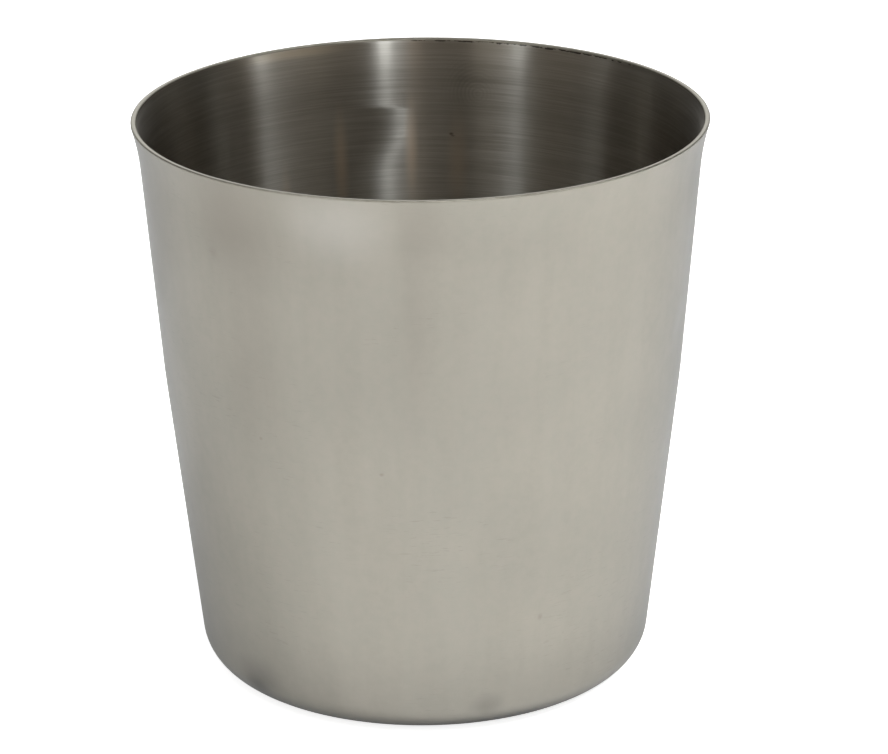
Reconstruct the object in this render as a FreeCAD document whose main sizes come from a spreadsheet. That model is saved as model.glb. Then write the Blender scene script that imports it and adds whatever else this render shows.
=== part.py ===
"""A deep drawn stainless steel cup, drawn from one disc of sheet.

The cup stands upright on +Z, with its origin on the axis, in the plane that it rests on. It is
one half section turned round the axis: the outer face of the sheet, the inner face one gauge
inside it, and the trimmed edge between them. From the axis to the mouth, each face runs through:

- the floor
- the heel, the large bend that the nose of the punch leaves
- a lower wall and a steeper upper wall, one from each draw, which meet at a faint knee
- the flare of the mouth
- the lip, where the corner of the trimmed edge is broken
"""

import FreeCAD, Part

import math
import os

import Sketcher

# Driving dimensions, in millimetres and degrees. Both wall angles are measured from the vertical.
SIZES = {
    "mouth_diameter": 85.0,
    "cup_height": 85.0,
    "gauge": 0.8,
    "heel_radius": 5.7,
    "lower_wall_angle": 6.4,
    "upper_wall_angle": 4.7,
    "knee_height": 46.0,
    "knee_radius": 140.0,
    "flare_height": 7.0,
    "flare_radius": 35.0,
    "lip_chamfer": 0.2,
}

SHEET = "sizes"
UP = math.pi / 2

# How Sketcher names the points of an edge, and the sketch's own origin.
START, END, CENTRE = 1, 2, 3
ORIGIN = (-1, START)


def make_sheet(doc):
    """Put the driving dimensions into a spreadsheet, one cell and one alias each."""
    sheet = doc.addObject("Spreadsheet::Sheet", SHEET)
    for row, (name, value) in enumerate(SIZES.items(), start=1):
        sheet.set(f"A{row}", name)
        sheet.set(f"B{row}", str(value))
        sheet.setAlias(f"B{row}", name)
    doc.recompute()
    return sheet


# The section is laid out in the sketch's own plane: first the radius, then the height. Angles are
# in radians, counter-clockwise from the radius.


def point(radius, height):
    """A point of the half section."""
    return FreeCAD.Vector(radius, height, 0)


def move(start, angle, length):
    """The point a length away from start."""
    return start + length * point(math.cos(angle), math.sin(angle))


def arc(centre, radius, first, last):
    """An arc that runs counter-clockwise from the first angle to the last."""
    return Part.ArcOfCircle(Part.Circle(centre, FreeCAD.Vector(0, 0, 1), radius), first, last)


def wall_angles(size):
    """How steeply the lower and the upper wall climb, as angles from the radius."""
    return UP - math.radians(size.lower_wall_angle), UP - math.radians(size.upper_wall_angle)


def bend_centres(size):
    """Where the flare, the knee and the heel are centred, and where the two walls would cross."""
    lower, upper = wall_angles(size)

    # The flare is centred outside the cup. Its foot is one flare height below the trimmed edge.
    lip = point(size.mouth_diameter / 2, size.cup_height - size.lip_chamfer)
    drop = size.flare_height - size.lip_chamfer + size.flare_radius * math.cos(upper)
    flare = lip + point(math.sqrt(size.flare_radius ** 2 - drop ** 2), -drop)

    # The walls cross at the knee height, and the knee touches both of them from inside.
    flare_foot = move(flare, upper + UP, size.flare_radius)
    crossing = move(flare_foot, upper, (size.knee_height - flare_foot.y) / math.sin(upper))
    knee_foot = move(crossing, lower, -size.knee_radius * math.tan((upper - lower) / 2))
    knee = move(knee_foot, lower + UP, size.knee_radius)

    # The heel touches the lower wall and the table.
    corner = move(crossing, lower, -size.knee_height / math.sin(lower))
    heel = point(corner.x - size.heel_radius * math.tan(lower / 2), size.heel_radius)
    return flare, knee, heel, crossing


def face_edges(size, depth):
    """One face of the sheet from the axis to the lip: the outer at depth 0, or the inner."""
    lower, upper = wall_angles(size)
    flare_at, knee_at, heel_at, _ = bend_centres(size)
    heel = arc(heel_at, size.heel_radius - depth, -UP, lower - UP)
    knee = arc(knee_at, size.knee_radius - depth, lower - UP, upper - UP)
    flare_radius = size.flare_radius + depth
    lip_angle = math.pi - math.asin((size.cup_height - size.lip_chamfer - flare_at.y) / flare_radius)
    flare = arc(flare_at, flare_radius, lip_angle, upper + UP)
    into_sheet = size.lip_chamfer if depth else -size.lip_chamfer
    lip_end = flare.StartPoint + point(into_sheet, size.lip_chamfer)
    return {
        "floor": Part.LineSegment(point(0, depth), heel.StartPoint),
        "heel": heel,
        "lower_wall": Part.LineSegment(heel.EndPoint, knee.StartPoint),
        "knee": knee,
        "upper_wall": Part.LineSegment(knee.EndPoint, flare.EndPoint),
        "flare": flare,
        "lip": Part.LineSegment(flare.StartPoint, lip_end),
    }


def tie(sketch, *rule):
    """Add a constraint to the sketch."""
    return sketch.addConstraint(Sketcher.Constraint(*rule))


def dimension(sketch, name, *rule, formula=None):
    """Add a dimension that follows the cell of its own name, or a formula of cells."""
    sketch.renameConstraint(tie(sketch, *rule), name)
    sketch.setExpression(f"Constraints.{name}", formula or f"{SHEET}.{name}")


def draw_face(sketch, size, depth):
    """Draw one face of the sheet, with every bend smooth into its neighbours."""
    edge = {name: sketch.addGeometry(shape) for name, shape in face_edges(size, depth).items()}
    tie(sketch, "Horizontal", edge["floor"])
    tie(sketch, "Tangent", edge["floor"], END, edge["heel"], START)
    tie(sketch, "Tangent", edge["heel"], END, edge["lower_wall"], START)
    tie(sketch, "Tangent", edge["lower_wall"], END, edge["knee"], START)
    tie(sketch, "Tangent", edge["knee"], END, edge["upper_wall"], START)
    tie(sketch, "Tangent", edge["upper_wall"], END, edge["flare"], END)
    tie(sketch, "Coincident", edge["flare"], START, edge["lip"], START)
    return edge


def close_section(sketch, size, outer, inner):
    """Join the two faces at the trimmed edge and on the cup's axis. The axis edge is returned."""
    lips = [sketch.Geometry[face["lip"]].EndPoint for face in (outer, inner)]
    trim = sketch.addGeometry(Part.LineSegment(*lips))
    tie(sketch, "Coincident", outer["lip"], END, trim, START)
    tie(sketch, "Coincident", inner["lip"], END, trim, END)
    tie(sketch, "Horizontal", trim)
    dimension(sketch, "cup_height", "DistanceY", *ORIGIN, trim, START, size.cup_height)
    flare_foot = (outer["flare"], END)
    dimension(sketch, "flare_height", "DistanceY", *flare_foot, trim, START, size.flare_height)

    floors = [sketch.Geometry[face["floor"]].StartPoint for face in (outer, inner)]
    axis = sketch.addGeometry(Part.LineSegment(*floors))
    tie(sketch, "Coincident", outer["floor"], START, axis, START)
    tie(sketch, "Coincident", inner["floor"], START, axis, END)
    tie(sketch, "Vertical", axis)
    return axis


def keep_gauge(sketch, size, outer, inner):
    """Keep the inner face one gauge inside the outer face, all the way."""
    for name in ("heel", "knee", "flare"):
        tie(sketch, "Coincident", inner[name], CENTRE, outer[name], CENTRE)
    for name in ("lower_wall", "upper_wall"):
        tie(sketch, "Parallel", inner[name], outer[name])
    tie(sketch, "Equal", inner["lip"], outer["lip"])
    tie(sketch, "Perpendicular", inner["lip"], outer["lip"])
    floors = (outer["floor"], START, inner["floor"], START)
    dimension(sketch, "gauge", "DistanceY", *floors, size.gauge)


def size_outside(sketch, size, outer, axis):
    """Give the outer face its place and its sizes, from the floor up to the lip."""
    tie(sketch, "Coincident", outer["floor"], START, *ORIGIN)
    dimension(sketch, "heel_radius", "Radius", outer["heel"], size.heel_radius)

    for name in ("lower_wall", "upper_wall"):
        wall_to_axis = (outer[name], START, axis, START)
        angle = math.radians(getattr(size, f"{name}_angle"))
        dimension(sketch, f"{name}_angle", "Angle", *wall_to_axis, angle)

    *_, crossing_at = bend_centres(size)
    crossing = sketch.addGeometry(Part.Point(crossing_at), True)
    tie(sketch, "PointOnObject", crossing, START, outer["lower_wall"])
    tie(sketch, "PointOnObject", crossing, START, outer["upper_wall"])
    dimension(sketch, "knee_height", "DistanceY", *ORIGIN, crossing, START, size.knee_height)
    dimension(sketch, "knee_radius", "Radius", outer["knee"], size.knee_radius)

    lip = outer["lip"]
    mouth_radius = size.mouth_diameter / 2
    chamfer = {"formula": f"{SHEET}.lip_chamfer"}
    dimension(sketch, "flare_radius", "Radius", outer["flare"], size.flare_radius)
    dimension(
        sketch, "mouth_radius", "DistanceX", *ORIGIN, lip, START, mouth_radius,
        formula=f"{SHEET}.mouth_diameter / 2",
    )
    dimension(sketch, "lip_width", "DistanceX", lip, END, lip, START, size.lip_chamfer, **chamfer)
    dimension(sketch, "lip_drop", "DistanceY", lip, START, lip, END, size.lip_chamfer, **chamfer)


def make_cup(doc, size):
    """The cup: the section of the sheet, turned once round the cup's axis."""
    body = doc.addObject("PartDesign::Body", "cup")
    planes = {feature.Role: feature for feature in body.Origin.OriginFeatures}

    section = body.newObject("Sketcher::SketchObject", "sheet_section")
    section.AttachmentSupport = (planes["XZ_Plane"], "")
    section.MapMode = "FlatFace"
    outer = draw_face(section, size, 0)
    inner = draw_face(section, size, size.gauge)
    axis = close_section(section, size, outer, inner)
    keep_gauge(section, size, outer, inner)
    size_outside(section, size, outer, axis)
    doc.recompute()

    form = body.newObject("PartDesign::Revolution", "drawn_form")
    form.Profile = section
    form.ReferenceAxis = (section, ["V_Axis"])
    form.Angle = 360
    doc.recompute()
    return body


def check(doc, body):
    """Stop unless every feature built, the section is fully constrained and the solid is sound."""
    for thing in doc.Objects:
        if "Invalid" in thing.State or "Error" in thing.State:
            raise RuntimeError(f"{thing.Label} failed: {thing.State}")
        if thing.isDerivedFrom("Sketcher::SketchObject") and not thing.FullyConstrained:
            raise RuntimeError(f"{thing.Label} isn't fully constrained")
    if body.Shape.isNull() or not body.Shape.isValid() or len(body.Shape.Solids) != 1:
        raise RuntimeError(f"{body.Label} isn't one valid solid")


def export(body):
    """Write the solid to parts, under the name of its node."""
    os.makedirs("parts", exist_ok=True)
    body.Shape.exportStep(f"parts/{body.Label}.step")
    box = body.Shape.optimalBoundingBox(False)
    sides = " x ".join(f"{side:.2f}" for side in (box.XLength, box.YLength, box.ZLength))
    print(f"{body.Label}: {sides} mm, {body.Shape.Volume / 1000:.3f} cm3 of sheet")


def main():
    doc = FreeCAD.newDocument("drawn_cup")
    size = make_sheet(doc)
    cup = make_cup(doc, size)
    check(doc, cup)
    export(cup)


main()
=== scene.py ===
# %% [markdown]
# # A deep drawn steel cup
# This is a plain cup pressed from one round blank of sheet steel: a flat base, a tight heel, a wall
# that leans out in two straight tapers with a soft knee between them, and a mouth that flares a
# little and is trimmed flat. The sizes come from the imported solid, which is loaded first and stays
# where it is. Everything modelled here stands over it, in metres.

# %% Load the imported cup
import math

import bmesh
import bpy
from mathutils import Matrix, Quaternion, Vector


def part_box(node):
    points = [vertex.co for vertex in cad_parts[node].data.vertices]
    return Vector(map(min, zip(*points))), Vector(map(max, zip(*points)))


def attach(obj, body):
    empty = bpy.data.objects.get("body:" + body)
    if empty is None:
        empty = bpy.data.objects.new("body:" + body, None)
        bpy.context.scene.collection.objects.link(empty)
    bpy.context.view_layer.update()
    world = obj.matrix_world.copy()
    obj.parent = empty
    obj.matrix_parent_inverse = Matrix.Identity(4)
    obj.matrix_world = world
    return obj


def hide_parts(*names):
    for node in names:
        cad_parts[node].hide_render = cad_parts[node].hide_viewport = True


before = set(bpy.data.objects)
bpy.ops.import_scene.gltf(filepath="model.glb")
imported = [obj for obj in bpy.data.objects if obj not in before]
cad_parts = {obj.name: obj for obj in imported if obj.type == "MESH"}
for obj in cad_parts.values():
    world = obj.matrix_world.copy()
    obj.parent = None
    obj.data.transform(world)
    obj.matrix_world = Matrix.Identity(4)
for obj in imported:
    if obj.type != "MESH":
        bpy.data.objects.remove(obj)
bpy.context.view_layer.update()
MM = 0.001

# %% [markdown]
# ## The sizes of the drawing
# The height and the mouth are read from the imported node, so that the skin modelled here always fits
# it. The rest are the sizes that a press shop would note on its drawing: the gauge of the sheet, the
# two wall angles, and the radii of the heel, the knee and the flare. The mouth is taken a hair under
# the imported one, so that rounding never puts the skin outside it.

# %% Name the sizes
cup_low, cup_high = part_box("cup")
HEIGHT = cup_high.z
SKIN_ALLOWANCE = 0.01 * MM
MOUTH_RADIUS = cup_high.x - SKIN_ALLOWANCE
GAUGE = 0.8 * MM
HEEL_RADIUS = 5.7 * MM
LOWER_TAPER = math.radians(6.4)
UPPER_TAPER = math.radians(4.7)
KNEE_HEIGHT = 46 * MM
KNEE_RADIUS = 140 * MM
FLARE_HEIGHT = 7 * MM
FLARE_RADIUS = 35 * MM
LIP_EDGE = 0.2 * MM
LIP_ROUND = 0.32 * MM
print(f"cup {HEIGHT / MM:.1f} mm tall, mouth {2 * MOUTH_RADIUS / MM:.1f} mm across")

# %% [markdown]
# ## The outline of the outer skin
# A drawn cup is round, so half of its outline says everything. It could be a list of points read
# off a drawing, but it is only straight runs and round bends that meet smoothly, so each point here
# comes from a wall angle or a bend radius. Points are pairs: distance from the axis, and height.


# %% Work out the outline
def run(start, end, steps):
    """Points along a straight run, without its first one."""
    return [start.lerp(end, step / steps) for step in range(1, steps + 1)]


def bend(centre, radius, first, last, steps):
    """Points along a round bend between two directions from its centre, without its first one."""
    turns = [first + (last - first) * step / steps for step in range(1, steps + 1)]
    return [centre + radius * Vector((math.cos(turn), math.sin(turn))) for turn in turns]


def along(taper):
    """One step up a wall that leans out from the axis."""
    return Vector((math.sin(taper), math.cos(taper)))


def across(taper):
    """One step straight out of that wall."""
    return Vector((math.cos(taper), -math.sin(taper)))


lip_height = HEIGHT - LIP_EDGE
flare_foot_height = HEIGHT - FLARE_HEIGHT
flare_centre_height = flare_foot_height - FLARE_RADIUS * math.sin(UPPER_TAPER)
flare_rise = lip_height - flare_centre_height
flare_centre = Vector((MOUTH_RADIUS + math.sqrt(FLARE_RADIUS**2 - flare_rise**2), flare_centre_height))
flare_foot = flare_centre - FLARE_RADIUS * across(UPPER_TAPER)

upper_run = (flare_foot_height - KNEE_HEIGHT) / math.cos(UPPER_TAPER)
knee_corner = flare_foot - upper_run * along(UPPER_TAPER)
knee_reach = KNEE_RADIUS * math.tan((LOWER_TAPER - UPPER_TAPER) / 2)
knee_top = knee_corner + knee_reach * along(UPPER_TAPER)
knee_foot = knee_corner - knee_reach * along(LOWER_TAPER)
knee_centre = knee_foot - KNEE_RADIUS * across(LOWER_TAPER)

wall_foot = knee_corner - KNEE_HEIGHT / math.cos(LOWER_TAPER) * along(LOWER_TAPER)
heel_reach = HEEL_RADIUS * math.tan((math.pi / 2 - LOWER_TAPER) / 2)
heel_centre = Vector((wall_foot.x - heel_reach, HEEL_RADIUS))
heel_top = wall_foot + heel_reach * along(LOWER_TAPER)

HUB = 4 * MM
TRIM_ALLOWANCE = math.radians(2.5)
flare_end = math.pi - math.asin(flare_rise / FLARE_RADIUS) - TRIM_ALLOWANCE
outline = run(Vector((HUB, 0)), Vector((heel_centre.x, 0)), 8)
outline += bend(heel_centre, HEEL_RADIUS, -math.pi / 2, -LOWER_TAPER, 14)
outline += run(heel_top, knee_foot, 26)
outline += bend(knee_centre, KNEE_RADIUS, -LOWER_TAPER, -UPPER_TAPER, 4)
outline += run(knee_top, flare_foot, 20)
outline += bend(flare_centre, FLARE_RADIUS, math.pi - UPPER_TAPER, flare_end, 10)
print("outline of", len(outline), "rings; wall meets the floor plane at", round(wall_foot.x / MM, 3), "mm")

# %% [markdown]
# ## Drawing the sheet
# In the press, a punch pushes the blank through a ring and the wall follows it up. The model is made
# the same way round: a small disc at the centre of the base is grown ring by ring, each new ring
# being an extrusion of the open edge that is then lifted and widened to its place on the outline.
# The last ring stands a little past the mouth, as the ragged edge does before it is trimmed.


# %% Grow the sheet ring by ring
SEGMENTS = 288


def open_edge_only(mesh):
    """Leaves only the sheet's open edge selected, in edit mode."""
    bpy.ops.mesh.select_all(action="DESELECT")
    bpy.ops.mesh.select_mode(type="EDGE")
    sheet = bmesh.from_edit_mesh(mesh)
    for edge in sheet.edges:
        edge.select = edge.is_boundary
    sheet.select_flush_mode()
    bmesh.update_edit_mesh(mesh)


bpy.ops.object.select_all(action="DESELECT")
bpy.ops.mesh.primitive_circle_add(vertices=SEGMENTS, radius=HUB, fill_type="TRIFAN", location=(0, 0, 0))
cup = bpy.context.object
cup.name = "drawn_cup"
cup.data.name = "drawn_cup"
bpy.ops.object.mode_set(mode="EDIT")
open_edge_only(cup.data)
here = Vector((HUB, 0))
for there in outline:
    lift = {"value": (0, 0, there.y - here.y)}
    bpy.ops.mesh.extrude_region_move(TRANSFORM_OT_translate=lift)
    widen = there.x / here.x
    bpy.ops.transform.resize(value=(widen, widen, 1), center_override=(0, 0, there.y))
    here = there
bpy.ops.mesh.select_all(action="SELECT")
bpy.ops.mesh.normals_make_consistent(inside=False)
bpy.ops.object.mode_set(mode="OBJECT")
print("sheet:", len(cup.data.polygons), "faces, up to", round(here.y / MM, 2), "mm")

# %% [markdown]
# ## Wall thickness and trimming
# The skin gets its gauge from a Solidify modifier that works inwards, so the outside keeps its size.
# A plane at the cup's height then trims both skins, and the two cut edges are bridged by the narrow
# flat lip. A cut edge is never quite sharp, so both of its corners get a small rounded bevel.

# %% Give the sheet its gauge and trim the mouth
solidify = cup.modifiers.new("gauge", "SOLIDIFY")
solidify.thickness = GAUGE
solidify.offset = -1
solidify.use_even_offset = True
bpy.ops.object.modifier_apply(modifier=solidify.name)

bpy.ops.object.mode_set(mode="EDIT")
bpy.ops.mesh.select_all(action="SELECT")
bpy.ops.mesh.bisect(plane_co=(0, 0, HEIGHT), plane_no=(0, 0, 1), clear_outer=True)
open_edge_only(cup.data)
bpy.ops.mesh.bridge_edge_loops()
bpy.ops.mesh.select_all(action="DESELECT")
trimmed = bmesh.from_edit_mesh(cup.data)
FLAT = 1e-6
for edge in trimmed.edges:
    at_mouth = all(abs(corner.co.z - HEIGHT) < FLAT for corner in edge.verts)
    one_skin = abs(edge.verts[0].co.xy.length - edge.verts[1].co.xy.length) < GAUGE / 4
    edge.select = at_mouth and one_skin
bmesh.update_edit_mesh(cup.data)
bpy.ops.mesh.bevel(offset=LIP_ROUND, segments=4, profile=0.5)
bpy.ops.object.mode_set(mode="OBJECT")
widest = max(corner.co.xy.length for corner in cup.data.vertices)
print("trimmed cup:", len(cup.data.polygons), "faces, widest", round(widest / MM, 3), "mm from the axis")

# %% [markdown]
# ## Knocks from use
# Thin sheet shows every knock. The cup has a shallow press mark halfway up its right side and a
# small dimple low on its left, where it was set down hard. A dent could be painted as a shadow, but a
# real one catches any light, so a single point of the wall is pushed in and its neighbours follow
# with a smooth falloff. Places on the wall are given as a turn from the front towards the right, in
# degrees, and a height.


# %% Press the dents
def wall_place(turn, height, skin=0.0):
    """A place on the wall: degrees from the front to the right, a height, a depth into the sheet."""
    rings = list(zip(outline, outline[1:]))
    low, high = next(pair for pair in rings if pair[1].y >= height)
    radius = low.x + (high.x - low.x) * (height - low.y) / (high.y - low.y) - skin
    angle = math.radians(turn)
    return Vector((radius * math.sin(angle), -radius * math.cos(angle), height))


def press_dent(turn, height, depth, reach):
    """Pushes the wall in at one place, together with what lies within reach of it."""
    place = wall_place(turn, height)
    bpy.ops.object.mode_set(mode="EDIT")
    bpy.ops.mesh.select_all(action="DESELECT")
    bpy.ops.mesh.select_mode(type="VERT")
    wall = bmesh.from_edit_mesh(cup.data)
    nearest = min(wall.verts, key=lambda corner: (corner.co - place).length)
    nearest.select = True
    bmesh.update_edit_mesh(cup.data)
    inwards = -depth * Vector((place.x, place.y, 0)).normalized()
    bpy.ops.transform.translate(
        value=inwards,
        use_proportional_edit=True,
        proportional_edit_falloff="SMOOTH",
        proportional_size=reach,
    )
    bpy.ops.object.mode_set(mode="OBJECT")


press_dent(turn=74, height=55 * MM, depth=0.22 * MM, reach=5 * MM)
press_dent(turn=-48, height=4 * MM, depth=0.15 * MM, reach=4 * MM)
bpy.ops.object.shade_smooth_by_angle(angle=math.radians(30))
print("two dents pressed; the mouth is still", round(cup.dimensions.x / MM, 2), "mm across")

# %% [markdown]
# ## Helpers for finishes
# Each finish is a small tree of nodes. A few helpers keep the trees short: one starts a tree, one
# does arithmetic, one makes a smooth step, one mixes two colours. Effects that more than one finish
# needs are made once, as groups with named inputs and outputs.


# %% Make the node helpers
def connect(tree, value, socket):
    """Feeds a socket from another socket, a number or a colour."""
    if isinstance(value, bpy.types.NodeSocket):
        tree.links.new(value, socket)
    elif isinstance(value, tuple) and socket.type == "RGBA":
        socket.default_value = (*value, 1)
    else:
        socket.default_value = value


def add_math(tree, operation, first, second):
    """Arithmetic on two values."""
    node = tree.nodes.new("ShaderNodeMath")
    node.operation = operation
    connect(tree, first, node.inputs[0])
    connect(tree, second, node.inputs[1])
    return node.outputs["Value"]


def add_vector_math(tree, operation, first, second=(0, 0, 0)):
    """Arithmetic on one or two vectors."""
    node = tree.nodes.new("ShaderNodeVectorMath")
    node.operation = operation
    connect(tree, first, node.inputs[0])
    connect(tree, second, node.inputs[1])
    return node.outputs["Value"] if operation == "DOT_PRODUCT" else node.outputs["Vector"]


def add_axes(tree, vector):
    """The three parts of a vector, by the names X, Y and Z."""
    node = tree.nodes.new("ShaderNodeSeparateXYZ")
    connect(tree, vector, node.inputs["Vector"])
    return node.outputs


def add_step(tree, value, low, high):
    """A smooth step of a value, from 0 at low to 1 at high."""
    node = tree.nodes.new("ShaderNodeMapRange")
    node.interpolation_type = "SMOOTHSTEP"
    connect(tree, value, node.inputs["Value"])
    connect(tree, low, node.inputs["From Min"])
    connect(tree, high, node.inputs["From Max"])
    return node.outputs["Result"]


def add_mix(tree, factor, first, second):
    """A mix of two colours."""
    node = tree.nodes.new("ShaderNodeMix")
    node.data_type = "RGBA"
    connect(tree, factor, node.inputs["Factor"])
    connect(tree, first, node.inputs["A"])
    connect(tree, second, node.inputs["B"])
    return node.outputs["Result"]


def new_group(name, inputs, outputs):
    """A node group with named sockets; returns its tree, its inputs and its outputs."""
    group = bpy.data.node_groups.new(name, "ShaderNodeTree")
    for socket_name, kind in inputs:
        group.interface.new_socket(socket_name, in_out="INPUT", socket_type=kind)
    for socket_name, kind in outputs:
        group.interface.new_socket(socket_name, in_out="OUTPUT", socket_type=kind)
    given = group.nodes.new("NodeGroupInput").outputs
    wanted = group.nodes.new("NodeGroupOutput").inputs
    return group, given, wanted


def add_group(tree, group, output, **values):
    """Places a group in a tree with its own values and returns one of its outputs."""
    node = tree.nodes.new("ShaderNodeGroup")
    node.node_tree = group
    for socket_name, value in values.items():
        connect(tree, value, node.inputs[socket_name])
    return node.outputs[output]


FLOAT = "NodeSocketFloat"
VECTOR = "NodeSocketVector"
print("node helpers ready")

# %% [markdown]
# ## Brush lines
# Abrasive belts and scrubbing pads run round a cup while it turns, so its lines lie round it: long
# one way and a hair's breadth the other. A texture wrapped on with a UV map would show a seam, so
# the pattern is a solid noise read from the object's own coordinates. Squeezed hard along the
# height and hardly at all across, its cells become rings that any cut of the cup shows whole. A
# slant tips them a little, for strokes that cross the others.

# %% Make the group for brush lines
lines_group, given, wanted = new_group(
    "brush_lines",
    [("Across", FLOAT), ("Upward", FLOAT), ("Slant", FLOAT), ("Low", FLOAT), ("High", FLOAT)],
    [("Line", FLOAT)],
)
place = lines_group.nodes.new("ShaderNodeTexCoord").outputs["Object"]
tip = add_math(lines_group, "MULTIPLY", add_axes(lines_group, place)["X"], given["Slant"])
lean = lines_group.nodes.new("ShaderNodeCombineXYZ")
connect(lines_group, tip, lean.inputs["Z"])
place = add_vector_math(lines_group, "ADD", place, lean.outputs["Vector"])
cells = lines_group.nodes.new("ShaderNodeCombineXYZ")
connect(lines_group, given["Across"], cells.inputs["X"])
connect(lines_group, given["Across"], cells.inputs["Y"])
connect(lines_group, given["Upward"], cells.inputs["Z"])
place = add_vector_math(lines_group, "MULTIPLY", place, cells.outputs["Vector"])
rings = lines_group.nodes.new("ShaderNodeTexNoise")
rings.inputs["Scale"].default_value = 1
rings.inputs["Detail"].default_value = 3
rings.inputs["Roughness"].default_value = 0.6
connect(lines_group, place, rings.inputs["Vector"])
line = add_step(lines_group, rings.outputs["Fac"], given["Low"], given["High"])
connect(lines_group, line, wanted["Line"])
print(lines_group.name, "takes", list(given.keys())[:-1])

# %% [markdown]
# ## Marks at a place
# Spots, smudges and patches of painted shade, and painted highlights each sit at one place on the
# wall. A painted mask would need an image, so a mark is worked out instead: the distance from its
# place, measured in its own widths, fades from full in the middle to nothing at its rim.

# %% Make the group for marks
mark_group, given, wanted = new_group(
    "soft_mark",
    [("Place", VECTOR), ("Reach", VECTOR)],
    [("Mark", FLOAT)],
)
here = mark_group.nodes.new("ShaderNodeTexCoord").outputs["Object"]
offset = add_vector_math(mark_group, "SUBTRACT", here, given["Place"])
offset = add_vector_math(mark_group, "DIVIDE", offset, given["Reach"])
span = mark_group.nodes.new("ShaderNodeVectorMath")
span.operation = "LENGTH"
connect(mark_group, offset, span.inputs[0])
connect(mark_group, add_step(mark_group, span.outputs["Value"], 1.0, 0.0), wanted["Mark"])


def add_mark(tree, colour, turn, height, across, tall, mark_colour, strength, skin=0.0):
    """Lays one soft mark of a colour over another colour, at a place on the wall."""
    mark = add_group(
        tree,
        mark_group,
        "Mark",
        Place=wall_place(turn, height, skin),
        Reach=Vector((across, across, tall)),
    )
    return add_mix(tree, add_math(tree, "MULTIPLY", mark, strength), colour, mark_colour)


# %% [markdown]
# ## Mottling
# No hand-finished sheet is one even tone. Grease, polish and pickling leave faint clouds, a little
# warmer here and a little cooler there. A plain noise at two sizes gives them.

# %% Make the group for mottling
mottle_group, given, wanted = new_group("mottling", [("Size", FLOAT)], [("Cloud", FLOAT)])
place = mottle_group.nodes.new("ShaderNodeTexCoord").outputs["Object"]
clouds = mottle_group.nodes.new("ShaderNodeTexNoise")
clouds.inputs["Detail"].default_value = 4
clouds.inputs["Roughness"].default_value = 0.55
connect(mottle_group, place, clouds.inputs["Vector"])
connect(mottle_group, add_math(mottle_group, "DIVIDE", 1.0, given["Size"]), clouds.inputs["Scale"])
connect(mottle_group, add_step(mottle_group, clouds.outputs["Fac"], 0.3, 0.7), wanted["Cloud"])


# %% [markdown]
# ## The metal itself
# Brushed metal mirrors the room, but its lines spread each reflection across themselves. The
# anisotropy of the shader does that: a tangent that runs round the axis tells it where the lines
# lie, and a quarter turn stretches the highlights up and down the wall, as they are on a real cup.


# %% Make the base of a finish
def start_metal(name, anisotropy):
    """A material of bare metal with lines round the axis; returns it, its tree and its shader."""
    material = bpy.data.materials.new(name)
    material.use_nodes = True
    tree = material.node_tree
    tree.nodes.clear()
    metal = tree.nodes.new("ShaderNodeBsdfPrincipled")
    metal.inputs["Metallic"].default_value = 1
    metal.inputs["Anisotropic"].default_value = anisotropy
    metal.inputs["Anisotropic Rotation"].default_value = 0.25
    tangent = tree.nodes.new("ShaderNodeTangent")
    tangent.direction_type = "RADIAL"
    tangent.axis = "Z"
    output = tree.nodes.new("ShaderNodeOutputMaterial")
    connect(tree, tangent.outputs["Tangent"], metal.inputs["Tangent"])
    connect(tree, metal.outputs["BSDF"], output.inputs["Surface"])
    return material, tree, metal


def add_relief(tree, metal, height):
    """Raises the surface by a height in metres; returns the new normal."""
    bump = tree.nodes.new("ShaderNodeBump")
    bump.inputs["Distance"].default_value = 1
    connect(tree, height, bump.inputs["Height"])
    connect(tree, bump.outputs["Normal"], metal.inputs["Normal"])
    return bump.outputs["Normal"]


def add_range(tree, value, low, high):
    """A value from 0 to 1, spread between two others."""
    return add_math(tree, "ADD", add_math(tree, "MULTIPLY", value, high - low), low)


# %% [markdown]
# ## Outside: an even satin
# The outside was linished to a soft grey satin with a slight warmth. Fine lines, soft upright bands
# and faint clouds break it up. Short dark hairlines, where grit ran under the belt, lie in patches.
# Painted shade darkens the wall towards the bottom and more at the heel, for the floor's shadow
# mirrored in it, with two smudges of painted shade, and a few dark spots are scattered over the wall.
# More painted shade, for shadows mirrored in the wall, lies in a band down the front and in patches
# on the flare and the left side, and a painted highlight brightens the flare left of the front. The
# specular tint takes some brightness off the edges of the cup, where bare metal would mirror too
# cleanly.

# %% Finish the outside
outside, tree, metal = start_metal("satin_outside", anisotropy=0.5)
metal.inputs["Specular Tint"].default_value = (0.72, 0.74, 0.78, 1)
belt = add_group(tree, lines_group, "Line", Across=170.0, Upward=3600.0, Low=0.3, High=0.7)
bands = add_group(tree, lines_group, "Line", Across=210.0, Upward=14.0, Low=0.3, High=0.7)
clouds = add_group(tree, mottle_group, "Cloud", Size=0.014)
flecks = add_group(tree, mottle_group, "Cloud", Size=0.0016)
colour = add_mix(tree, bands, (0.398, 0.378, 0.326), (0.427, 0.405, 0.352))
colour = add_mix(tree, add_math(tree, "MULTIPLY", belt, 0.3), colour, (0.405, 0.390, 0.340))
colour = add_mix(tree, add_math(tree, "MULTIPLY", clouds, 0.3), colour, (0.415, 0.410, 0.362))
colour = add_mix(tree, add_math(tree, "MULTIPLY", flecks, 0.25), colour, (0.480, 0.436, 0.385))

hairlines = add_group(tree, lines_group, "Line", Across=420.0, Upward=4200.0, Low=0.60, High=0.68)
patches = add_group(tree, mottle_group, "Cloud", Size=0.02)
patches = add_step(tree, patches, 0.4, 0.9)
hairlines = add_math(tree, "MULTIPLY", hairlines, patches)
colour = add_mix(tree, add_math(tree, "MULTIPLY", hairlines, 0.25), colour, (0.26, 0.25, 0.22))

# Painted shade: the wall darkens towards the bottom in a wide fade and a tight band at the heel, for the
# floor's shadow mirrored in it.
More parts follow.
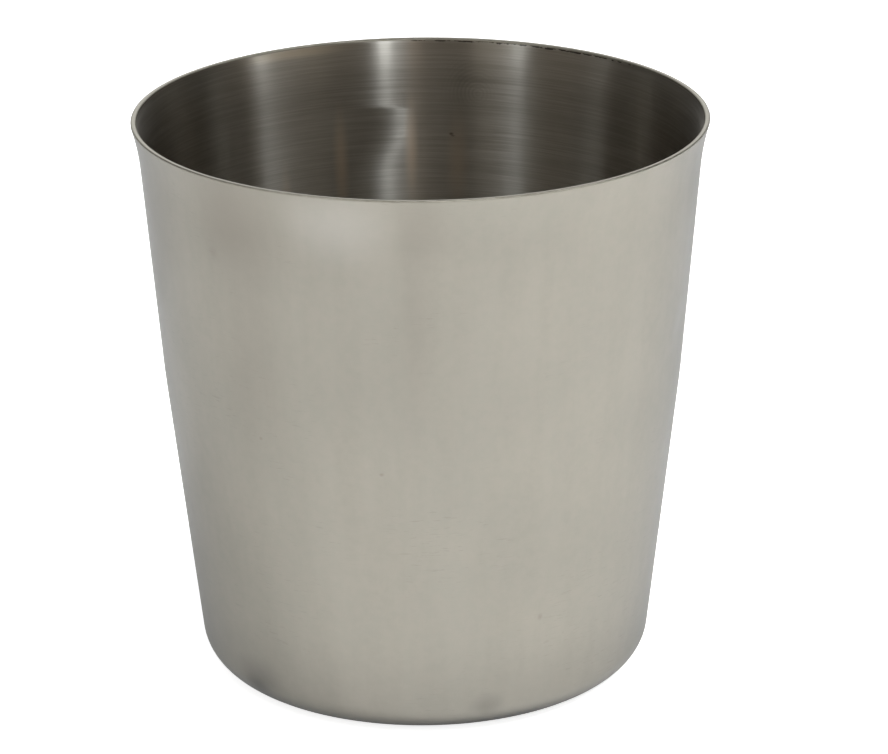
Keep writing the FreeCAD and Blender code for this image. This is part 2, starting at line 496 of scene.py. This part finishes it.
HEEL_SHADE = (0.13, 0.13, 0.125)
rise = add_axes(tree, tree.nodes.new("ShaderNodeTexCoord").outputs["Object"])["Z"]
heel_shade_fade = add_step(tree, rise, 18 * MM, 2 * MM)
colour = add_mix(tree, add_math(tree, "MULTIPLY", heel_shade_fade, 0.25), colour, HEEL_SHADE)
contact_shade = add_step(tree, rise, 4 * MM, 0.0)
colour = add_mix(tree, add_math(tree, "MULTIPLY", contact_shade, 0.6), colour, HEEL_SHADE)

# This smudge colour paints shade: the shade of the dent low on the left, a dark patch low in front, and the
# floor's shadow mirrored under the heel on the right.
PAINTED_SHADE = (0.10, 0.10, 0.095)
SPOT = (0.22, 0.19, 0.16)
# This pale colour is a painted highlight: a bright reflection painted on the flare, left of the front.
FLARE_HIGHLIGHT = (0.60, 0.58, 0.54)
# This dark colour is painted shade: shadows mirrored in the wall, in a band down the front and patches on
# the flare and the left side.
MIRRORED_SHADE = (0.36, 0.335, 0.29)
marks_shade_and_highlights_outside = [
    ("painted shade low on the left", -47, 4.5, 7.0, 5.0, PAINTED_SHADE, 0.36),
    ("its dark middle", -48, 3.6, 3.5, 2.2, PAINTED_SHADE, 0.36),
    ("painted shade low in front", 15, 4.5, 3.5, 3.0, PAINTED_SHADE, 0.28),
    ("painted shade under the heel on the right", 24, 0.8, 15.0, 3.0, PAINTED_SHADE, 0.4),
    ("spot under the mouth", -46, 73.3, 1.2, 1.2, SPOT, 0.2),
    ("spot in the middle", -9, 43, 0.5, 0.4, SPOT, 0.35),
    ("spot on the left", -37, 46, 0.5, 0.4, SPOT, 0.35),
    ("spot low on the right", 28, 18, 0.6, 0.8, SPOT, 0.3),
    ("painted highlight on the flare", -17, 80.5, 11.0, 8.0, FLARE_HIGHLIGHT, 0.4),
    ("mirrored shade down the front", -1.5, 66, 4.5, 26.0, MIRRORED_SHADE, 0.35),
    ("mirrored shade above it", 0, 81, 7.0, 9.0, MIRRORED_SHADE, 0.55),
    ("mirrored shade under the mouth", -40, 79, 13.0, 14.0, MIRRORED_SHADE, 0.9),
    ("mirrored shade down the left", -38, 58, 9.0, 26.0, MIRRORED_SHADE, 0.4),
    ("mirrored shade on the left", -68, 74, 14.0, 16.0, MIRRORED_SHADE, 0.4),
]
for name, turn, height, across, tall, mark_colour, strength in marks_shade_and_highlights_outside:
    colour = add_mark(tree, colour, turn, height * MM, across * MM, tall * MM, mark_colour, strength)
connect(tree, colour, metal.inputs["Base Color"])
SATIN_ROUGHNESS = (0.37, 0.43)
BELT_DEPTH = 0.0012 * MM
connect(tree, add_range(tree, clouds, *SATIN_ROUGHNESS), metal.inputs["Roughness"])
add_relief(tree, metal, add_math(tree, "MULTIPLY", belt, BELT_DEPTH))
print("outside:", len(marks_shade_and_highlights_outside), "marks,", len(tree.nodes), "nodes")

# %% [markdown]
# ## Inside: close brush lines
# The inside was scrubbed on a turning mandrel. Its lines are stronger, and they stretch every lamp
# into a bright streak down the wall. Light that enters the cup bounces several times before it
# leaves, and each bounce takes its share, which is why the inside looks darker and browner than the
# outside although it is the same steel. Under the lip there is a painted tan highlight, a ragged dark
# burr left by the trimming tool, a greasy fingerprint and one small nick, and lower down stand faint
# brown streaks, painted reflections of the room. One streak steps sideways, as it would if the wall
# were a little out of true there. No bend is modelled: the normal is tipped over that patch by a
# small angle, which moves the streak.

# %% Finish the inside
inside, tree, metal = start_metal("brushed_inside", anisotropy=1.0)
scrub = add_group(tree, lines_group, "Line", Across=60.0, Upward=4200.0, Low=0.32, High=0.68)
scratches = add_group(tree, lines_group, "Line", Across=90.0, Upward=6000.0, Slant=0.06, Low=0.4, High=0.7)
swathes = add_group(tree, lines_group, "Line", Across=20.0, Upward=700.0, Slant=-0.05, Low=0.3, High=0.7)
colour = add_mix(tree, scrub, (0.44, 0.42, 0.38), (0.55, 0.53, 0.49))
colour = add_mix(tree, add_math(tree, "MULTIPLY", scratches, 0.35), colour, (0.40, 0.38, 0.345))
colour = add_mix(tree, add_math(tree, "MULTIPLY", swathes, 0.25), colour, (0.41, 0.395, 0.36))

# This tan is a painted highlight: a lighter band painted just under the lip at the back left.
TAN_HIGHLIGHT = (0.80, 0.72, 0.58)
BURR = (0.03, 0.028, 0.025)
KINK_ANGLE = 0.055
SCRUB_DEPTH = 0.0015 * MM
# This brown is painted reflections: narrow brown streaks down the inside that stand for things in the room
# mirrored in the brushed wall.
BROWN_REFLECTION = (0.80, 0.66, 0.52)
NICK = (0.06, 0.045, 0.035)
GREASE = (0.36, 0.35, 0.32)
marks_and_reflections_inside = [
    ("tan highlight under the lip", -152, 84.2, 13.0, 1.4, TAN_HIGHLIGHT, 0.6),
    ("nick", 173, 70.0, 0.55, 0.35, NICK, 0.8),
    ("nick's tail", 172.6, 69.7, 0.5, 0.22, NICK, 0.7),
    ("brown reflection on the left", -147.5, 60, 1.4, 10.0, BROWN_REFLECTION, 0.3),
    ("brown reflection beside it", -161.5, 66, 1.7, 13.0, BROWN_REFLECTION, 0.6),
    ("brown reflection in the middle", -177.8, 68, 1.5, 13.0, BROWN_REFLECTION, 0.55),
    ("brown reflection on the right", 171.5, 66, 2.4, 11.0, BROWN_REFLECTION, 0.4),
]
for name, turn, height, across, tall, mark_colour, strength in marks_and_reflections_inside:
    colour = add_mark(tree, colour, turn, height * MM, across * MM, tall * MM, mark_colour, strength, GAUGE)

burr_place = wall_place(155, 84.77 * MM, GAUGE)
burr = add_group(tree, mark_group, "Mark", Place=burr_place, Reach=Vector((32 * MM, 32 * MM, 0.55 * MM)))
teeth = add_group(tree, lines_group, "Line", Across=900.0, Upward=2600.0, Low=0.3, High=0.7)
burr = add_step(tree, add_math(tree, "MULTIPLY", burr, teeth), 0.16, 0.30)
colour = add_mix(tree, add_math(tree, "MULTIPLY", burr, 0.85), colour, BURR)

print_place = wall_place(169, 78.5 * MM, GAUGE)
touched = add_group(tree, mark_group, "Mark", Place=print_place, Reach=Vector((6 * MM, 6 * MM, 6 * MM)))
ridges = tree.nodes.new("ShaderNodeTexWave")
ridges.wave_type = "RINGS"
ridges.rings_direction = "SPHERICAL"
ridges.inputs["Scale"].default_value = 520
ridges.inputs["Distortion"].default_value = 1.5
ridge_centre = wall_place(167, 76.5 * MM, GAUGE)
here = tree.nodes.new("ShaderNodeTexCoord").outputs["Object"]
connect(tree, add_vector_math(tree, "SUBTRACT", here, ridge_centre), ridges.inputs["Vector"])
fingerprint = add_math(tree, "MULTIPLY", touched, ridges.outputs["Fac"])
colour = add_mix(tree, add_math(tree, "MULTIPLY", fingerprint, 0.5), colour, GREASE)

connect(tree, colour, metal.inputs["Base Color"])
BRUSHED_ROUGHNESS = (0.28, 0.32)
connect(tree, add_range(tree, scrub, *BRUSHED_ROUGHNESS), metal.inputs["Roughness"])

axes = add_axes(tree, here)
kink_left = add_step(tree, axes["X"], -16 * MM, -11 * MM)
kink_right = add_step(tree, axes["X"], 0.0, -3 * MM)
kink_top = add_step(tree, axes["Z"], 74.8 * MM, 73.8 * MM)
kink_foot = add_step(tree, axes["Z"], 64 * MM, 71 * MM)
kink = add_math(tree, "MULTIPLY", kink_left, kink_right)
kink = add_math(tree, "MULTIPLY", kink, add_math(tree, "MULTIPLY", kink_top, kink_foot))
kink = add_math(tree, "MULTIPLY", kink, add_math(tree, "GREATER_THAN", axes["Y"], 0.0))
sideways = tree.nodes.new("ShaderNodeCombineXYZ")
connect(tree, add_math(tree, "MULTIPLY", kink, KINK_ANGLE), sideways.inputs["X"])
brushed = add_relief(tree, metal, add_math(tree, "MULTIPLY", scrub, SCRUB_DEPTH))
kinked = add_vector_math(tree, "ADD", brushed, sideways.outputs["Vector"])
connect(tree, add_vector_math(tree, "NORMALIZE", kinked), metal.inputs["Normal"])
print("inside:", len(tree.nodes), "nodes")

# %% [markdown]
# ## Lip: a bare trimmed edge
# The trimming tool leaves the lip paler and a little rough, with no lines of its own. It gets the
# same mottling as the wall, at the size of the tool's chatter.

# %% Finish the lip
lip, tree, metal = start_metal("trimmed_lip", anisotropy=0.0)
chatter = add_group(tree, mottle_group, "Cloud", Size=0.0012)
connect(tree, add_mix(tree, chatter, (0.50, 0.48, 0.41), (0.60, 0.58, 0.51)), metal.inputs["Base Color"])
LIP_ROUGHNESS = (0.36, 0.48)
CHATTER_DEPTH = 0.01 * MM
connect(tree, add_range(tree, chatter, *LIP_ROUGHNESS), metal.inputs["Roughness"])
add_relief(tree, metal, add_math(tree, "MULTIPLY", chatter, CHATTER_DEPTH))
print("lip:", len(tree.nodes), "nodes")

# %% [markdown]
# ## Which face gets which finish
# The three finishes meet at the lip. A face belongs to the lip if it lies in the upper half of the
# rounded edge, to the outside if it looks away from the axis or down from the base, and to the
# inside otherwise. A flat face looks neither way, but its normal can lean by a rounding error, so
# "away" means by more than that.

# %% Give each face its finish
for finish in (outside, inside, lip):
    cup.data.materials.append(finish)
OUTSIDE, INSIDE, LIP = range(3)
for face in cup.data.polygons:
    looks_out = face.center.xy.dot(face.normal.xy) > FLAT
    looks_down = face.center.z < GAUGE / 2 and face.normal.z < 0
    on_lip = face.center.z > HEIGHT - 0.5 * LIP_ROUND
    face.material_index = LIP if on_lip else OUTSIDE if looks_out or looks_down else INSIDE
shares = [sum(face.material_index == kind for face in cup.data.polygons) for kind in (OUTSIDE, INSIDE, LIP)]
print("faces outside, inside and on the lip:", shares)

# %% [markdown]
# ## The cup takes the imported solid's place
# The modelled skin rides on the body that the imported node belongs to, and stands in for it.

# %% Put the cup on its body
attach(cup, "root")
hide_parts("cup")

# %% [markdown]
# ## A pale floor
# The cup stands on a large sheet of white paper. The paper is matt and takes the cup's soft shadow.
# It also glows a little, but only for rays that come straight from the camera or from a mirror, so
# the background is white and the metal shows it, while no light is added to the cup.

# %% Lay the paper
FLOOR_SIZE = 6
PAPER = (0.8, 0.8, 0.8)
CAMERA_GLOW = 0.78
MIRROR_GLOW = 0.25
bpy.ops.object.select_all(action="DESELECT")
bpy.ops.mesh.primitive_plane_add(size=FLOOR_SIZE, location=(0, 0, 0))
floor = bpy.context.object
floor.name = "pale_floor"
paper = bpy.data.materials.new("white_paper")
paper.use_nodes = True
tree = paper.node_tree
tree.nodes.clear()
matt = tree.nodes.new("ShaderNodeBsdfDiffuse")
connect(tree, PAPER, matt.inputs["Color"])
path = tree.nodes.new("ShaderNodeLightPath")
for_camera = add_math(tree, "MULTIPLY", path.outputs["Is Camera Ray"], CAMERA_GLOW)
for_mirror = add_math(tree, "MAXIMUM", path.outputs["Is Glossy Ray"], path.outputs["Is Transmission Ray"])
for_mirror = add_math(tree, "MULTIPLY", for_mirror, MIRROR_GLOW)
glow = tree.nodes.new("ShaderNodeEmission")
connect(tree, add_math(tree, "ADD", for_camera, for_mirror), glow.inputs["Strength"])
both = tree.nodes.new("ShaderNodeAddShader")
connect(tree, matt.outputs["BSDF"], both.inputs[0])
connect(tree, glow.outputs["Emission"], both.inputs[1])
output = tree.nodes.new("ShaderNodeOutputMaterial")
connect(tree, both.outputs["Shader"], output.inputs["Surface"])
floor.data.materials.append(paper)
print("floor", FLOOR_SIZE, "m square")

# %% [markdown]
# ## The room in the metal
# A metal cup looks like whatever surrounds it. The room is plain: a white backdrop behind, a dim
# warm room in front, dimmer sides, and an even light for the paper. It is painted on the world by
# direction, and Light Path tells the kinds of rays apart: the camera sees pure white, matt surfaces
# get the even light, and the metal mirrors the room.

# %% Paint the room
ROOM_FRONT = (0.21, 0.187, 0.160)
ROOM_SIDES = (0.09, 0.088, 0.082)
PURE_WHITE = (1, 1, 1)
EVEN_LIGHT = (0.45, 0.45, 0.45)
BACKDROP_RISE = math.radians(25)
BACKDROP_EDGE = (0.86, 0.97)
world = bpy.data.worlds.new("plain_room")
world.use_nodes = True
bpy.context.scene.world = world
tree = world.node_tree
tree.nodes.clear()
direction = tree.nodes.new("ShaderNodeTexCoord").outputs["Generated"]
backdrop_aim = Vector((0, math.cos(BACKDROP_RISE), math.sin(BACKDROP_RISE)))
towards_backdrop = add_vector_math(tree, "DOT_PRODUCT", direction, backdrop_aim)
path = tree.nodes.new("ShaderNodeLightPath")
room = add_mix(tree, add_step(tree, add_axes(tree, direction)["Y"], -0.35, 0.3), ROOM_FRONT, ROOM_SIDES)
room = add_mix(tree, add_step(tree, towards_backdrop, *BACKDROP_EDGE), room, PURE_WHITE)
room = add_mix(tree, path.outputs["Is Camera Ray"], room, PURE_WHITE)
room = add_mix(tree, path.outputs["Is Diffuse Ray"], room, EVEN_LIGHT)
sky = tree.nodes.new("ShaderNodeBackground")
connect(tree, room, sky.inputs["Color"])
output = tree.nodes.new("ShaderNodeOutputWorld")
connect(tree, sky.outputs["Background"], output.inputs["Surface"])
print("room painted with", len(tree.nodes), "nodes")

# %% [markdown]
# ## Windows and a soft key lamp
# Tall, narrow windows give the inside its streaks. One slim warm lamp beside them stands for a brown
# shelf, and two broad dim ones for pale walls. The windows to the sides lean, which keeps their
# streaks upright. A lamp's brightness as the metal sees it is its radiance, so the
# power is worked out from that and from the lamp's area. One soft box from the right lights the
# paper more on that side, which is what makes the cup's right side paler. The metal doesn't mirror
# the box itself.


# %% Hang the lamps
ROOM_REACH = 1.6


def room_place(turn, rise, reach):
    """A place in the room, seen from the mouth: degrees from the front to the right, and up."""
    angle = math.radians(turn)
    climb = math.radians(rise)
    flat = reach * math.cos(climb)
    return Vector((flat * math.sin(angle), -flat * math.cos(angle), HEIGHT + reach * math.sin(climb)))


def hang_lamp(name, place, width, height, lean, radiance, colour):
    """A soft rectangular lamp that faces the mouth of the cup, its top leaning to the right."""
    lamp_data = bpy.data.lights.new(name, "AREA")
    lamp_data.shape = "RECTANGLE"
    lamp_data.size = width
    lamp_data.size_y = height
    lamp_data.energy = radiance * math.pi * width * height
    lamp_data.color = colour
    lamp = bpy.data.objects.new(name, lamp_data)
    lamp.location = place
    facing = (Vector((0, 0, HEIGHT)) - place).to_track_quat("-Z", "Y")
    leaning = Quaternion((0, 0, 1), -math.radians(lean))
    lamp.rotation_euler = (facing @ leaning).to_euler()
    lamp.visible_camera = False
    bpy.context.scene.collection.objects.link(lamp)
    return lamp


DAYLIGHT = (0.94, 0.98, 1.0)
SHELF_BROWN = (1.0, 0.72, 0.5)
SHELF_CREAM = (1.0, 0.93, 0.8)
windows = [
    ("window_right", 84, 48, 3.5, 50, 19, 6.6, DAYLIGHT),
    ("window_front", 17.5, 48, 3.2, 50, 4, 10.2, DAYLIGHT),
    ("window_front_pane", 9, 48, 4.0, 50, 2, 0.9, DAYLIGHT),
    ("window_left", -49, 48, 4.5, 50, -8, 4.8, DAYLIGHT),
    ("window_far_left", -98, 48, 5.0, 50, -19, 0.8, DAYLIGHT),
    ("shelf_front", 3, 48, 1.5, 50, 0, 1.4, SHELF_BROWN),
    ("pale_wall_right", 62, 38, 40.0, 50, 0, 0.22, SHELF_CREAM),
    ("pale_wall_left", -32, 30, 16.0, 40, 0, 0.3, SHELF_CREAM),
]
for name, turn, rise, wide, tall, lean, radiance, colour in windows:
    width = ROOM_REACH * math.radians(wide)
    height = ROOM_REACH * math.radians(tall)
    hang_lamp(name, room_place(turn, rise, ROOM_REACH), width, height, lean, radiance, colour)
soft_box = hang_lamp("soft_box_right", room_place(82, 50, 0.65), 0.3, 0.3, 0, 10.0, PURE_WHITE)
soft_box.visible_glossy = False
print(len(windows), "windows, shelves and walls, and one soft box")

# %% [markdown]
# ## The camera
# The camera looks slightly down at the cup from the front with a long lens. Its place is worked out
# round the middle of the cup, and three small corrections turn it as it was held.

# %% Place the camera
CAMERA_REACH = 587 * MM
CAMERA_RISE = math.radians(20.365)
AIM_YAW = math.radians(-0.3087)
AIM_PITCH = math.radians(0.1105)
AIM_ROLL = math.radians(-0.5742)
camera_data = bpy.data.cameras.new("long_lens")
camera_data.sensor_width = 36
camera_data.lens = 158.04
camera_data.clip_start = 10 * MM
camera = bpy.data.objects.new("long_lens", camera_data)
bpy.context.scene.collection.objects.link(camera)
middle = Vector((0, 0, HEIGHT / 2))
stand = middle + CAMERA_REACH * Vector((0, -math.cos(CAMERA_RISE), math.sin(CAMERA_RISE)))
aim = Matrix.Rotation(math.pi / 2 - CAMERA_RISE, 3, "X") @ Matrix.Rotation(AIM_YAW, 3, "Y")
aim = aim @ Matrix.Rotation(AIM_PITCH, 3, "X") @ Matrix.Rotation(AIM_ROLL, 3, "Z")
camera.matrix_world = Matrix.Translation(stand) @ aim.to_4x4()
bpy.context.scene.camera = camera
print("camera", [round(part / MM) for part in stand], "mm from the cup's foot")

# %% [markdown]
# ## View settings
# Colours are shown as they are, and light may bounce eight times between the walls of the cup, so
# that its deep end doesn't go black.

# %% Set the view
bpy.context.scene.view_settings.view_transform = "Standard"
bpy.context.scene.cycles.glossy_bounces = 8
